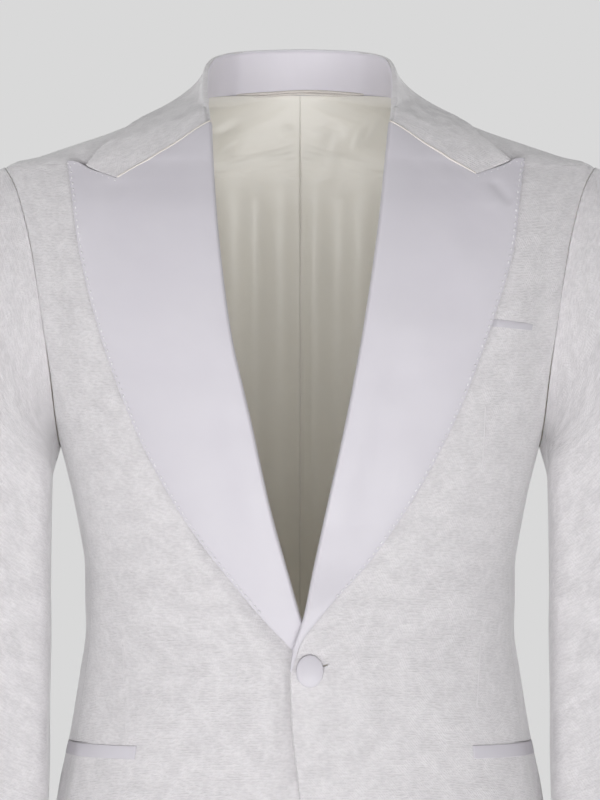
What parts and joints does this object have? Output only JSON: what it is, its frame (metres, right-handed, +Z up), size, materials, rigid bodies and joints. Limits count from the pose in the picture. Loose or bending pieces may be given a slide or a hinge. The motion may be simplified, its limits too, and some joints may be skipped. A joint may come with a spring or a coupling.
{
  "type": "tuxedo jacket",
  "caption": "White tuxedo jacket with wide satin peak lapels, one covered button fastened at the waist, a breast welt, hip welts, hollow sleeves and an open neck, worn form with no wearer.",
  "frame": {"origin": "midway between the two points where the shoulder seams reach the neck, where the wearer's shoulders carry the jacket", "axes": "+Z up, the jacket's front faces -Y, +X is the wearer's left"},
  "size_m": [0.594, 0.2486, 0.7847],
  "materials": {
    "cloth": "white wool blend cloth with a fine rib weave and a faint cloudy relief, matt",
    "satin": "cool white satin facing, soft sheen",
    "lining": "ivory satin lining, soft sheen"
  },
  "bodies": {
    "root": {"front_left": "cloth", "front_right": "cloth", "back_left": "cloth", "back_right": "cloth", "side_left": "cloth", "side_right": "cloth", "sleeve_top_left": "cloth", "sleeve_top_right": "cloth", "sleeve_under_left": "cloth", "sleeve_under_right": "cloth", "lapel_left": "satin", "lapel_right": "satin", "hip_welt_left": "satin", "hip_welt_right": "satin", "lining_left": "lining", "lining_right": "lining", "collar_leaf": "cloth", "collar_stand": "satin", "breast_welt": "satin", "button": "satin", "button_shank": "satin"}
  },
  "joints": []
}
